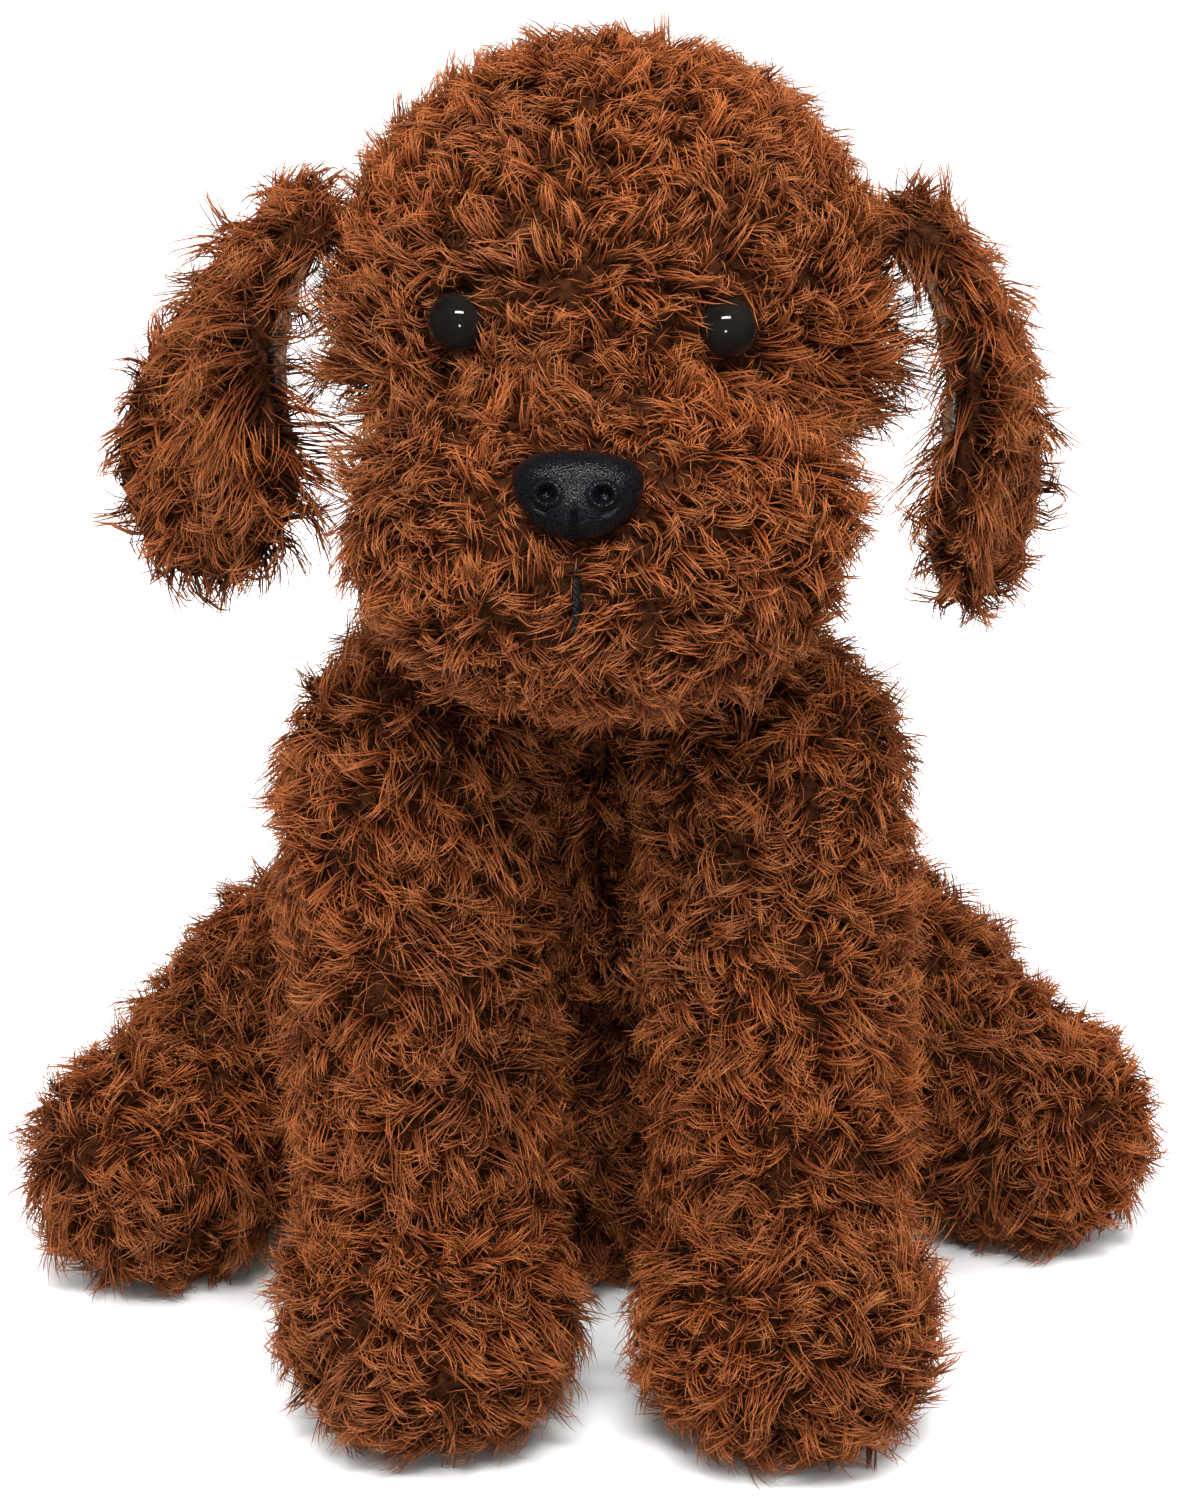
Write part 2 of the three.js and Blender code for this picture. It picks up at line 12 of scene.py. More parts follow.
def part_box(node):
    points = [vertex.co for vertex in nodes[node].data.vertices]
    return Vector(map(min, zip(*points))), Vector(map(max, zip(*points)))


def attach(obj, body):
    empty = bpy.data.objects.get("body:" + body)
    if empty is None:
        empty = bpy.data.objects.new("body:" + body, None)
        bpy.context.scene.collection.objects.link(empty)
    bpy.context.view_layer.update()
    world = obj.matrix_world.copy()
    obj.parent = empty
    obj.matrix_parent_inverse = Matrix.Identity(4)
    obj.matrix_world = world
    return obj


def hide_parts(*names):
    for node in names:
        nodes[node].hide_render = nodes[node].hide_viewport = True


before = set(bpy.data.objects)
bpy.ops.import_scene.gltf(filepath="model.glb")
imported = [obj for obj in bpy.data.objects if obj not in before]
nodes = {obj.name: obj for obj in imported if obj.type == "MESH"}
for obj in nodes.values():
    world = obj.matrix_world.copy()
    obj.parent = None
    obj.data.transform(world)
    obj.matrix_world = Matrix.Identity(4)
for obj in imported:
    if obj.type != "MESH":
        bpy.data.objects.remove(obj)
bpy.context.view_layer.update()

MM = 0.001
SEED = 7
SIDES = ("left", "right")
noise.seed_set(SEED)

# ---------------------------------------------------------------- the photograph's view

PHOTO = (1186, 1500)
CAMERA_DISTANCE = 1.0
CAMERA_ELEVATION = math.radians(20)
PIXELS_PER_METRE = 4720            # at the camera's target
TARGET = Vector((-0.5, -12.4, 126)) * MM

# ---------------------------------------------------------------- fur

BACKING_VOXEL = 2.6 * MM
BACKING_SINK = 3.2 * MM            # from the CAD skin, which is the middle of the pile, in to the fabric
BACKING_ROUNDS = 5                 # how often the fabric's shape is smoothed
SINKING_ROUNDS = 2                 # how often it is smoothed again once it is sunk
FILLING_CLEARANCE = 0.8 * MM
FLOOR_CLEARANCE = 0.4 * MM         # the lowest fibres over the floor
BACKING_FLOOR_CLEARANCE = 2 * FLOOR_CLEARANCE
RINGS = (0.0, 0.38, 0.74)          # where a strand has a ring of points, as a share of its length
STRAND_SIDES = 3


def new_piece(name, points, faces, smooth=True):
    """A mesh object from arrays of points and of faces that all have the same number of corners."""
    points = np.ascontiguousarray(points, dtype=np.float32)
    faces = np.ascontiguousarray(faces, dtype=np.int32)
    mesh = bpy.data.meshes.new(name)
    mesh.vertices.add(len(points))
    mesh.vertices.foreach_set("co", points.ravel())
    mesh.loops.add(faces.size)
    mesh.loops.foreach_set("vertex_index", faces.ravel())
    mesh.polygons.add(len(faces))
    starts = np.arange(len(faces), dtype=np.int32) * faces.shape[1]
    mesh.polygons.foreach_set("loop_start", starts)
    mesh.polygons.foreach_set("use_smooth", np.full(len(faces), smooth))
    mesh.update(calc_edges=True)
    piece = bpy.data.objects.new(name, mesh)
    bpy.context.scene.collection.objects.link(piece)
    return piece


def arrays_of(mesh):
    points = np.empty(len(mesh.vertices) * 3, dtype=np.float32)
    mesh.vertices.foreach_get("co", points)
    edges = np.empty(len(mesh.edges) * 2, dtype=np.int32)
    mesh.edges.foreach_get("vertices", edges)
    mesh.calc_loop_triangles()
    triangles = np.empty(len(mesh.loop_triangles) * 3, dtype=np.int32)
    mesh.loop_triangles.foreach_get("vertices", triangles)
    return points.reshape(-1, 3).astype(float), edges.reshape(-1, 2), triangles.reshape(-1, 3)


def unit(vectors):
    return vectors / np.maximum(np.linalg.norm(vectors, axis=-1, keepdims=True), 1e-12)


def point_normals(points, triangles):
    corners = points[triangles]
    flat = np.cross(corners[:, 1] - corners[:, 0], corners[:, 2] - corners[:, 0])
    normals = np.zeros_like(points)
    for corner in range(3):
        np.add.at(normals, triangles[:, corner], flat)
    return unit(normals)


def smoothed(points, edges, rounds):
    """Moves every point half way to the middle of its neighbours, over and over."""
    count = np.bincount(edges.ravel(), minlength=len(points))[:, None]
    for _ in range(rounds):
        total = np.zeros_like(points)
        np.add.at(total, edges[:, 0], points[edges[:, 1]])
        np.add.at(total, edges[:, 1], points[edges[:, 0]])
        points = points + 0.5 * (total / np.maximum(count, 1) - points)
    return points


def outer_island(mesh):
    """The faces of the closed surface that holds the mesh's furthest point, which is its outside."""
    shell = bmesh.new()
    shell.from_mesh(mesh)
    start = max(shell.verts, key=lambda vert: vert.co.x)
    seen = {start}
    waiting = [start]
    while waiting:
        for edge in waiting.pop().link_edges:
            for vert in edge.verts:
                if vert not in seen:
                    seen.add(vert)
                    waiting.append(vert)
    bmesh.ops.delete(shell, geom=[vert for vert in shell.verts if vert not in seen], context="VERTS")
    shell.to_mesh(mesh)
    shell.free()


def kept_outside(points, filling):
    """Moves the points that are inside a body's filling, or nearly, to just outside it."""
    corners, _, triangles = arrays_of(nodes[filling].data)
    tree = BVHTree.FromPolygons(corners.tolist(), triangles.tolist())
    for index, point in enumerate(points):
        nearest, normal = tree.find_nearest(Vector(point))[:2]
        if (Vector(point) - nearest).dot(normal) < FILLING_CLEARANCE:
            points[index] = nearest + normal * FILLING_CLEARANCE
    return points


def fabric_round(name, node_names, voxel, rounds, sink):
    """The fabric under the pile: one closed surface round the CAD nodes, softened and sunk in them."""
    joined = bmesh.new()
    for node in node_names:
        joined.from_mesh(nodes[node].data)
    mesh = bpy.data.meshes.new(name)
    joined.to_mesh(mesh)
    joined.free()
    source = bpy.data.objects.new(name + "_source", mesh)
    bpy.context.scene.collection.objects.link(source)
    remesh = source.modifiers.new("remesh", "REMESH")
    remesh.mode = "VOXEL"
    remesh.voxel_size = voxel
    bpy.context.view_layer.update()
    solid = bpy.data.meshes.new_from_object(source.evaluated_get(bpy.context.evaluated_depsgraph_get()))
    bpy.data.objects.remove(source)
    outer_island(solid)
    points, edges, triangles = arrays_of(solid)
    points = smoothed(points, edges, rounds)
    points = points - sink * point_normals(points, triangles)
    points = smoothed(points, edges, SINKING_ROUNDS)
    for node in node_names:
        if node.endswith("stuffing"):
            points = kept_outside(points, node)
    points[:, 2] = np.maximum(points[:, 2], BACKING_FLOOR_CLEARANCE)
    bpy.data.meshes.remove(solid)
    return points, triangles


def swirl(points, scale, offset):
    """A smooth random direction at each point."""
    shift = Vector((offset, 0, -offset))
    return np.array([noise.noise_vector(Vector(point / scale) + shift) for point in points])


def scattered(rng, points, triangles, spacing):
    """Roots spread evenly over a surface, none closer to another than the spacing, with their normals."""
    corners = points[triangles]
    cross = np.cross(corners[:, 1] - corners[:, 0], corners[:, 2] - corners[:, 0])
    area = np.linalg.norm(cross, axis=1) / 2
    wanted = int(area.sum() / spacing**2 * 4)
    chosen = rng.choice(len(triangles), wanted, p=area / area.sum())
    share = rng.random((wanted, 2))
    share = np.where(share.sum(axis=1, keepdims=True) > 1, 1 - share, share)
    u, v = share[:, :1], share[:, 1:]
    normals = point_normals(points, triangles)[triangles[chosen]]
    corners = corners[chosen]
    places = corners[:, 0] * (1 - u - v) + corners[:, 1] * u + corners[:, 2] * v
    facing = unit(normals[:, 0] * (1 - u - v) + normals[:, 1] * u + normals[:, 2] * v)
    kept = []
    cells = {}
    for index, place in enumerate(places):
        cell = tuple((place // spacing).astype(int))
        near = [
            other
            for dx in (-1, 0, 1)
            for dy in (-1, 0, 1)
            for dz in (-1, 0, 1)
            for other in cells.get((cell[0] + dx, cell[1] + dy, cell[2] + dz), ())
        ]
        if all(((places[other] - place) ** 2).sum() > spacing**2 for other in near):
            cells.setdefault(cell, []).append(index)
            kept.append(index)
    return places[kept], facing[kept]


# ---------------------------------------------------------------- materials


class Surface:
    """A Principled material under construction, with short calls for the nodes this dog needs."""

    def __init__(self, name, **settings):
        self.material = bpy.data.materials.new(name)
        self.material.use_nodes = True
        self.tree = self.material.node_tree
        self.shader = self.tree.nodes["Principled BSDF"]
        for socket, value in settings.items():
            self.shader.inputs[socket.replace("_", " ")].default_value = value

    def node(self, kind, **inputs):
        made = self.tree.nodes.new("ShaderNode" + kind)
        for socket, value in inputs.items():
            self.feed(made.inputs[socket.replace("_", " ")], value)
        return made

    def feed(self, socket, value):
        if isinstance(value, bpy.types.NodeSocket):
            self.tree.links.new(value, socket)
        else:
            socket.default_value = value

    def place(self):
        return self.node("TexCoord").outputs["Object"]

    def attribute(self, name):
        made = self.node("Attribute")
        made.attribute_name = name
        return made.outputs["Fac"]

    def noise(self, scale, detail=3.0, roughness=0.55, stretch=None):
        place = self.place()
        if stretch:
            place = self.node("Mapping", Vector=place, Scale=stretch).outputs["Vector"]
        made = self.node("TexNoise", Vector=place, Scale=scale, Detail=detail, Roughness=roughness)
        return made.outputs["Fac"]

    def cells(self, scale):
        return self.node("TexVoronoi", Vector=self.place(), Scale=scale).outputs["Distance"]

    def spread(self, value, low, high, to_low=0.0, to_high=1.0):
        """Stretches the range from low to high over the range from to_low to to_high."""
        made = self.node("MapRange", Value=value)
        sockets = ("From Min", "From Max", "To Min", "To Max")
        for socket, number in zip(sockets, (low, high, to_low, to_high)):
            made.inputs[socket].default_value = number
        return made.outputs["Result"]

    def ramp(self, value, *stops):
        made = self.node("ValToRGB", Fac=value)
        elements = made.color_ramp.elements
        while len(elements) < len(stops):
            elements.new(0.5)
        for element, (place, colour) in zip(elements, stops):
            element.position = place
            element.color = (*colour, 1)
        return made.outputs["Color"]

    def mix(self, share, first, second, mode="MIX"):
        made = self.tree.nodes.new("ShaderNodeMix")
        made.data_type = "RGBA"
        made.blend_type = mode
        sockets = [socket for socket in made.inputs if socket.enabled]
        for socket, value in zip(sockets, (share, first, second)):
            self.feed(socket, value)
        return next(socket for socket in made.outputs if socket.enabled)

    def maths(self, operation, first, second=0.0):
        made = self.tree.nodes.new("ShaderNodeMath")
        made.operation = operation
        self.feed(made.inputs[0], first)
        self.feed(made.inputs[1], second)
        return made.outputs[0]

    def colour(self, value):
        self.feed(self.shader.inputs["Base Color"], value)

    def rough(self, value):
        self.feed(self.shader.inputs["Roughness"], value)

    def bump(self, height, distance, strength=1.0):
        made = self.node("Bump", Height=height, Distance=distance, Strength=strength)
        self.feed(self.shader.inputs["Normal"], made.outputs["Normal"])


GREY_BROWN = (0.84, 0.87, 0.95)
ORANGE_BROWN = (1.10, 0.95, 0.80)


def pile_material(name, root, middle, tip):
    """Fibres coloured near black at the root as painted shade deep in the pile and tan at the tip as a
    painted highlight, and differing a little from lock to lock.
    """
    surface = Surface(name, Roughness=0.5, IOR=1.36, Specular_Tint=(1.0, 0.68, 0.42, 1))
    along = surface.attribute("along")
    lock = surface.attribute("lock_shade")
    fibre = surface.attribute("fibre_shade")
    # Painted light along each fibre: the root colour is painted shade deep in the pile, the tip colour a
    # painted highlight, and the middle is the fibre's own colour.
    colour = surface.ramp(along, (0.05, root), (0.5, middle), (1.0, tip))
    patch = surface.spread(surface.noise(28, 2), 0.35, 0.65)
    hue = surface.ramp(surface.maths("MULTIPLY_ADD", lock, 0.5), (0.0, GREY_BROWN), (1.0, ORANGE_BROWN))
    patch_hue = surface.ramp(patch, (0.0, GREY_BROWN), (1.0, ORANGE_BROWN))
    colour = surface.mix(1.0, colour, hue, "MULTIPLY")
    colour = surface.mix(0.6, colour, patch_hue, "MULTIPLY")
    shade = surface.spread(fibre, 0.0, 1.0, 0.68, 1.28)
    lightness = surface.node("CombineColor", Red=shade, Green=shade, Blue=shade).outputs["Color"]
    surface.colour(surface.mix(1.0, colour, lightness, "MULTIPLY"))
    return surface.material


def plain_material(name, dark, light, scale, roughness, bump=0.0, **settings):
    """A material whose colour, gloss and grain vary a little with a fine noise."""
    surface = Surface(name, **settings)
    grain = surface.noise(scale, 4)
    share = surface.spread(grain, 0.3, 0.7)
    surface.colour(surface.ramp(share, (0.0, dark), (1.0, light)))
    surface.rough(surface.spread(grain, 0.3, 0.7, roughness - 0.06, roughness + 0.06))
    if bump:
        surface.bump(grain, bump)
    return surface.material


def painted_shade_backing_material():
    """The dense short underpile and knitted ground that shows between the locks, its brown darkened to near
    black as painted shade.
    """
    surface = Surface("pile_backing_painted_shade", Specular_IOR_Level=0.05, Specular_Tint=(1.0, 0.6, 0.35, 1))
    curls = surface.noise(420, 4)
    share = surface.spread(curls, 0.35, 0.7)
    # Painted shade: the fabric's colour is kept near black so that where it shows between the locks it reads
    # as the shadow deep in the pile.
    surface.colour(surface.ramp(share, (0.0, (0.016, 0.005, 0.0025)), (1.0, (0.050, 0.016, 0.006))))
    surface.rough(surface.spread(curls, 0.3, 0.7, 0.75, 0.95))
    surface.bump(curls, 1.2 * MM)
    return surface.material


def eye_material():
    """Black polished safety-eye plastic, with the faint swirl of its moulding deep under the gloss."""
    surface = Surface("eye_gloss", IOR=1.3)
    swirls = surface.noise(90, 2)
    share = surface.spread(swirls, 0.3, 0.7)
    surface.colour(surface.ramp(share, (0.0, (0.003, 0.003, 0.003)), (1.0, (0.009, 0.007, 0.006))))
    surface.rough(surface.spread(surface.noise(900, 3), 0.3, 0.7, 0.03, 0.07))
    return surface.material


def nose_material():
    """Satin black plastic with a fine leather grain."""
    surface = Surface("nose_satin", IOR=1.27)
    grain = surface.cells(2600)
    speckle = surface.noise(4200, 2)
    surface.colour(surface.ramp(surface.spread(grain, 0.1, 0.7), (0.0, (0.006, 0.006, 0.007)),
                                (1.0, (0.002, 0.002, 0.003))))
    surface.rough(surface.spread(speckle, 0.3, 0.7, 0.20, 0.32))
    surface.bump(surface.maths("ADD", grain, surface.maths("MULTIPLY", speckle, 0.4)), 0.16 * MM, 0.8)
    return surface.material


def lining_material():
    """Short tan pile that is brushed one way."""
    surface = Surface("ear_lining", Sheen_Weight=0.5, Sheen_Roughness=0.45)
    fibre = surface.noise(700, 3, stretch=(1.0, 1.0, 0.25))
    patch = surface.noise(45, 2)
    share = surface.spread(fibre, 0.3, 0.72)
    short = surface.ramp(share, (0.0, (0.10, 0.038, 0.016)), (1.0, (0.36, 0.17, 0.08)))
    patches = surface.spread(patch, 0.35, 0.65)
    shade = surface.ramp(patches, (0.0, (0.78, 0.76, 0.74)), (1.0, (1.0, 1.0, 1.0)))
    surface.colour(surface.mix(1.0, short, shade, "MULTIPLY"))
    surface.rough(surface.spread(fibre, 0.3, 0.7, 0.6, 0.85))
    surface.bump(fibre, 0.5 * MM)
    return surface.material


def fibrefill_material():
    surface = Surface("fibrefill", Sheen_Weight=0.3)
    wisps = surface.noise(160, 6, 0.7)
    share = surface.spread(wisps, 0.3, 0.7)
    surface.colour(surface.ramp(share, (0.0, (0.72, 0.70, 0.66)), (1.0, (0.90, 0.89, 0.86))))
    surface.rough(surface.spread(wisps, 0.3, 0.7, 0.85, 1.0))
    surface.bump(wisps, 2 * MM)
    return surface.material


def woven_material(name, dark, light, threads, roughness):
    """A plain weave, drawn by two crossed sets of threads in the object's own metres."""
    surface = Surface(name)
    place = surface.node("SeparateXYZ", Vector=surface.place())
    waves = [
        surface.maths("SINE", surface.maths("MULTIPLY", place.outputs[axis], threads * 2 * math.pi))
        for axis in ("X", "Z")
    ]
    weave = surface.maths("MULTIPLY", waves[0], waves[1])
    share = surface.spread(weave, -1, 1)
    surface.colour(surface.ramp(share, (0.0, dark), (1.0, light)))
    surface.rough(surface.spread(weave, -1, 1, roughness - 0.05, roughness + 0.08))
    surface.bump(weave, 0.15 * MM)
    return surface.material


def thread_material(name, dark, light):
    """Twisted thread: fine slanting ridges along it."""
    surface = Surface(name, Specular_IOR_Level=0.2)
    ply = surface.noise(1400, 2, stretch=(1.0, 1.0, 0.5))
    share = surface.spread(ply, 0.3, 0.7)
    surface.colour(surface.ramp(share, (0.0, dark), (1.0, light)))
    surface.rough(surface.spread(ply, 0.3, 0.7, 0.55, 0.8))
    surface.bump(ply, 0.2 * MM)
    return surface.material


def floor_material():
    surface = Surface("pale_floor")
    speckle = surface.noise(60, 4)
    surface.colour(surface.ramp(surface.spread(speckle, 0.3, 0.7), (0.0, (0.86, 0.86, 0.86)),
                                (1.0, (0.88, 0.88, 0.88))))
    surface.rough(surface.spread(speckle, 0.3, 0.7, 0.55, 0.65))
    return surface.material


# Each pile's root colour is painted shade deep in the pile and its tip colour a painted highlight on the
# pile's outside; the middle colours are the fibres' own.
CURLY_ROOT_PAINTED_SHADE, CURLY_MIDDLE, CURLY_TIP_PAINTED_HIGHLIGHT = (0.024, 0.006, 0.002), (0.140, 0.037, 0.011), (0.38, 0.142, 0.052)
SHORT_ROOT_PAINTED_SHADE, SHORT_MIDDLE, SHORT_TIP_PAINTED_HIGHLIGHT = (0.06, 0.025, 0.011), (0.20, 0.085, 0.038), (0.34, 0.17, 0.085)
WASHER_DARK, WASHER_LIGHT = (0.010, 0.010, 0.011), (0.022, 0.022, 0.024)

MATERIALS = {
    "curly_pile": pile_material("curly_pile", CURLY_ROOT_PAINTED_SHADE, CURLY_MIDDLE, CURLY_TIP_PAINTED_HIGHLIGHT),
    "lining_pile": pile_material("lining_pile", SHORT_ROOT_PAINTED_SHADE, SHORT_MIDDLE, SHORT_TIP_PAINTED_HIGHLIGHT),
    "backing": painted_shade_backing_material(),
    "ear_lining": lining_material(),
    "fibrefill": fibrefill_material(),
    "bag_cloth": woven_material("bag_cloth", (0.55, 0.50, 0.42), (0.78, 0.73, 0.64), 1500, 0.8),
    "pellets": plain_material("pellets", (0.66, 0.69, 0.72), (0.82, 0.84, 0.86), 500, 0.4, 1 * MM),
    "sewing_thread": thread_material("sewing_thread", (0.020, 0.008, 0.004), (0.065, 0.026, 0.013)),
    "mouth_thread": thread_material("mouth_thread", (0.002, 0.002, 0.002), (0.009, 0.008, 0.007)),
    "eye_gloss": eye_material(),
    "nose_satin": nose_material(),
    "washer_plastic": plain_material("washer_plastic", WASHER_DARK, WASHER_LIGHT, 300, 0.45, 0.1 * MM),
    "label_satin": woven_material("label_satin", (0.70, 0.69, 0.66), (0.88, 0.87, 0.84), 2600, 0.42),
}


def finish_piece(piece, body, slot, material=None, replaces=()):
    """Gives a piece its material, hangs it on the body it rides on, and hides the CAD nodes that it
    replaces.
    """
    piece.data.materials.clear()
    piece.data.materials.append(MATERIALS[material or slot])
    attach(piece, body)
    if replaces:
        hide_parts(*replaces)
    return piece


def dress_cad_nodes():
    """The pieces inside the dog keep their CAD shape and get their own materials."""
    slot_of = {
        "_stuffing": "fibrefill",
        "neck_wad": "fibrefill",
        "seat_bag": "bag_cloth",
        "seat_pellets": "pellets",
        "_stitch": "sewing_thread",
        "_washer": "washer_plastic",
    }
    for name, node in nodes.items():
        for ending, slot in slot_of.items():
            if name.endswith(ending) and name != "mouth_stitch":
                node.data.materials.clear()
                node.data.materials.append(MATERIALS[slot])


# ---------------------------------------------------------------- fabric under the pile

LIMBS = [f"{end}_leg_{side}" for end in ("front", "hind") for side in SIDES]
EARS = [f"ear_{side}" for side in SIDES]


def fabric_nodes(body):
    """The CAD nodes that make up a body's outside, and those that fill it."""
    if body == "head":
        return ["head_skin", "head_stuffing", "muzzle_skin", "muzzle_stuffing"]
    if body in EARS:
        return [body + "_outer"]
    return [body + "_skin", body + "_stuffing"]


def skins_of(body):
    return [node for node in fabric_nodes(body) if not node.endswith("stuffing")]


BODIES = ["torso", "head", *LIMBS, "tail", *EARS]
FABRIC = {"torso": dict(rounds=14), "head": dict(rounds=7), "tail": dict(rounds=3, sink=2 * MM)}
EAR_FABRIC = dict(voxel=1.6 * MM, rounds=3, sink=1.2 * MM)
LINING_FABRIC = dict(voxel=0.9 * MM, rounds=3, sink=0)


def make_fabric(body):
    choice = EAR_FABRIC if body in EARS else FABRIC.get(body, {})
    return fabric_round(
        body + "_backing", fabric_nodes(body), choice.get("voxel", BACKING_VOXEL),
        choice.get("rounds", BACKING_ROUNDS), choice.get("sink", BACKING_SINK),
    )


fabrics = {body: make_fabric(body) for body in BODIES}
for ear in EARS:
    fabrics[ear + "_lining"] = fabric_round(ear + "_lining", [ear + "_lining"], **LINING_FABRIC)


def add_backing(body):
    points, triangles = fabrics[body]
    piece = new_piece(body + "_backing", points, triangles)
    finish_piece(piece, body, "curly_pile", "backing", skins_of(body))


# ---------------------------------------------------------------- fittings' places


def node_points(node):
    mesh = nodes[node].data
    points = np.empty(len(mesh.vertices) * 3)
    mesh.vertices.foreach_get("co", points)
    return points.reshape(-1, 3)


class Fitting:
    """Where an eye or the nose sits: its tip, its radius, and the way out of the face along its stem."""

    def __init__(self, node):
        washer = node_points(node + "_washer")
        points = node_points(node)
        middle = washer.mean(axis=0)
        out = np.linalg.svd(washer - middle)[2][2]
        self.out = out * np.sign(out @ (points.mean(axis=0) - middle))
        self.right = unit(np.cross(self.out, (0, 0, 1)))
        self.up = np.cross(self.right, self.out)
        relative = points - middle
        reach = (relative @ self.out).max()
        radial = relative - np.outer(relative @ self.out, self.out)
        self.radius = np.linalg.norm(radial, axis=1).max()
        self.tip = middle + self.out * reach

    def local(self, points):
        """How far points are to the right, up and out, from the fitting's tip."""
        relative = points - self.tip
        return relative @ self.right, relative @ self.up, relative @ self.out

    def world(self, right, up, out):
        return self.tip + np.outer(right, self.right) + np.outer(up, self.up) + np.outer(out, self.out)


eyes = [Fitting(f"eye_{side}") for side in SIDES]
nose = Fitting("nose")


# ---------------------------------------------------------------- the coat

FIBRES_PER_PIECE = 12000
TURN_STEPS = 12
OPEN_SKY = 26 * MM                 # a root that sees this far is not hidden between two bodies
EAR_SKY = 9 * MM                   # the same between an ear and the head, where the gap shows from the front
CROWDED = 14 * MM                  # locks are shorter where something is nearer than this

# Millimetres and degrees. A lock of fibres leaves its root at the lean from the surface's normal and
# curls over. The spacing is the least distance between two locks' middles, and the spread is a lock's
# radius at its root.
CURLY = dict(
    length=13.0, lean=26, curl=74, spacing=2.6, fibres=12, spread=2.7, radius=0.24,
    slot="curly_pile", material="curly_pile",
)
COATS = {
    "torso": CURLY | dict(length=13.5, lean=28),
    "head": CURLY | dict(lean=21, curl=78),
    "front_leg": CURLY,
    "hind_leg": CURLY,
    "tail": CURLY | dict(length=10),
    "ear": CURLY | dict(length=14.0, lean=34),
    "lining": dict(
        length=3.4, lean=50, curl=25, spacing=1.6, fibres=6, spread=1.4, radius=0.14,
        slot="ear_lining", material="lining_pile",
    ),
}


def coat_of(name):
    kind = "lining" if name.endswith("lining") else next(kind for kind in COATS if name.startswith(kind))
    return COATS[kind]


def level_with(vectors, normals):
    """The directions of the vectors' parts that lie along the surface."""
    return unit(vectors - (vectors * normals).sum(axis=1, keepdims=True) * normals)


def flow_of(name, places, normals):
    """The way the pile is brushed: down on the body, away from the face on the head, and swirling."""
    if name == "head":
        face = (eyes[0].tip + eyes[1].tip + nose.tip) / 3
        main = unit(places - face)
    elif name == "tail":
        main = np.tile((0.0, 0.6, 0.5), (len(places), 1))
    else:
        main = np.tile((0.0, 0.0, -1.0), (len(places), 1))
    wild = 0.3 if name.endswith("lining") else 1.0
    broad = swirl(places, 21 * MM, 3.0)
    fine = swirl(places, 8 * MM, 11.0)
    return level_with(0.55 * main + wild * (1.5 * broad + 0.9 * fine), normals)


def sky_seen(tree, place, directions, sight):
    """How many of the directions are free, and how near the nearest thing is in the others."""
    free = 0
    nearest = sight
    for direction in directions:
        hit = tree.ray_cast(Vector(place), Vector(direction), sight)
        if hit[0] is None:
            free += 1
        else:
            nearest = min(nearest, hit[3])
    return free, nearest


def room_round(name, places, normals, flow):
    """For each lock, the share of its full length that it has room for, or 0 where nobody could see it."""
    others = [fabric for other, fabric in fabrics.items() if other != name]
    starts = np.cumsum([0] + [len(points) for points, _ in others])
    points = np.concatenate([points for points, _ in others])
    triangles = np.concatenate([triangles + start for (_, triangles), start in zip(others, starts)])
    tree = BVHTree.FromPolygons(points.tolist(), triangles.tolist())
    side = np.cross(normals, flow)
    room = np.ones(len(places))
    by_ears = name == "head" or name in EARS
    least = 0.8 if by_ears else 0.5
    sight = EAR_SKY if by_ears else OPEN_SKY
    for index, place in enumerate(places):
        normal = normals[index]
        directions = [normal]
        for lean in (flow[index], side[index]):
            directions += [unit(normal + 1.2 * way * lean) for way in (1, -1)]
        free, nearest = sky_seen(tree, place, directions, sight)
        if free == 0:
            room[index] = 0
        elif nearest < CROWDED:
            room[index] = max(nearest / CROWDED, least)
    return room


def grown(place, normal, flow, length, lean, curl, twist):
    """Points along fibres: each leaves its root, leans over with the flow and turns about the normal."""
    side = np.cross(normal, flow)
    marks = [0.0, *RINGS[1:], 1.0]
    at = place.copy()
    points = [at.copy()]
    for step in range(TURN_STEPS):
        share = (step + 0.5) / TURN_STEPS
        fall = lean + curl * share
        turn = twist * share
        heading = np.cos(fall) * normal + np.sin(fall) * (np.cos(turn) * flow + np.sin(turn) * side)
        at = at + heading * length / TURN_STEPS
        points.append(at.copy())
    path = np.stack(points)
    return np.stack([path[round(mark * TURN_STEPS)] for mark in marks])


